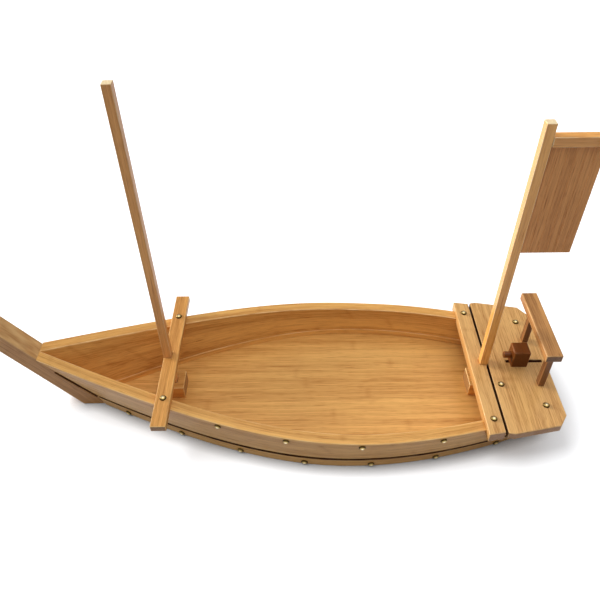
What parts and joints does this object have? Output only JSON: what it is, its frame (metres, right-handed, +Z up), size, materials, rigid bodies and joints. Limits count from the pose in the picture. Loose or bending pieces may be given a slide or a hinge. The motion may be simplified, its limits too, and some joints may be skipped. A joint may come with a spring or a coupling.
{
  "type": "sushi boat",
  "caption": "Flat-bottomed bamboo serving boat with an open well, a raked stem, a lift-out mast, a lift-out flag and a sliding pole lock on the stern deck.",
  "frame": {"origin": "on the table under the hull, on the centreline, on the underside of the bottom board", "axes": "+X along the boat towards the stern, +Y to starboard, +Z up from the table"},
  "size_m": [0.997, 0.3392, 0.604],
  "materials": {
    "hull_bamboo": "clear lacquered bamboo",
    "cross_bamboo": "clear lacquered bamboo",
    "deck_bamboo": "clear lacquered bamboo with cross grain",
    "spar_bamboo": "clear lacquered bamboo",
    "flag_bamboo": "laminated bamboo strips",
    "stained_bamboo": "dark stained bamboo",
    "brass": "polished dome heads"
  },
  "bodies": {
    "hull": {"stem": "hull_bamboo", "bottom_board": "hull_bamboo", "lower_strake_port": "hull_bamboo", "lower_strake_starboard": "hull_bamboo", "upper_strake_port": "hull_bamboo", "upper_strake_starboard": "hull_bamboo", "transom": "hull_bamboo", "deck_bearer": "hull_bamboo", "mast_step": "hull_bamboo", "flagpole_step": "hull_bamboo", "thwart": "cross_bamboo", "stern_plank": "cross_bamboo", "gate_rail": "cross_bamboo", "gate_leg_port": "cross_bamboo", "gate_leg_starboard": "cross_bamboo", "stern_deck": "deck_bamboo", "lower_nail_port_1": "brass", "lower_nail_port_2": "brass", "lower_nail_port_3": "brass", "lower_nail_port_4": "brass", "lower_nail_port_5": "brass", "lower_nail_port_6": "brass", "lower_nail_port_7": "brass", "lower_nail_port_8": "brass", "upper_nail_port_1": "brass", "upper_nail_port_2": "brass", "upper_nail_port_3": "brass", "upper_nail_port_4": "brass", "thwart_nail_port": "brass", "plank_nail_port": "brass", "deck_nail_front_port": "brass", "deck_nail_aft_port": "brass", "lower_nail_starboard_1": "brass", "lower_nail_starboard_2": "brass", "lower_nail_starboard_3": "brass", "lower_nail_starboard_4": "brass", "lower_nail_starboard_5": "brass", "lower_nail_starboard_6": "brass", "lower_nail_starboard_7": "brass", "lower_nail_starboard_8": "brass", "upper_nail_starboard_1": "brass", "upper_nail_starboard_2": "brass", "upper_nail_starboard_3": "brass", "upper_nail_starboard_4": "brass", "thwart_nail_starboard": "brass", "plank_nail_starboard": "brass", "deck_nail_front_starboard": "brass", "deck_nail_aft_starboard": "brass"},
    "mast": {"mast": "spar_bamboo"},
    "flag": {"flagpole": "spar_bamboo", "flag_batten": "spar_bamboo", "flag_board": "flag_bamboo"},
    "lock": {"lock_block": "stained_bamboo", "lock_peg": "stained_bamboo", "lock_key": "stained_bamboo"}
  },
  "joints": [
    {"name": "mast_lift", "type": "slide", "parent": "hull", "child": "mast", "axis": [0, 0, 1], "range_m": [0, 0.105]},
    {"name": "flagpole_lift", "type": "slide", "parent": "hull", "child": "flag", "axis": [0, 0, 1], "range_m": [0, 0.075]},
    {"name": "lock_slide", "type": "slide", "parent": "hull", "child": "lock", "axis": [1, 0, 0], "range_m": [-0.0249, 0.031]}
  ]
}
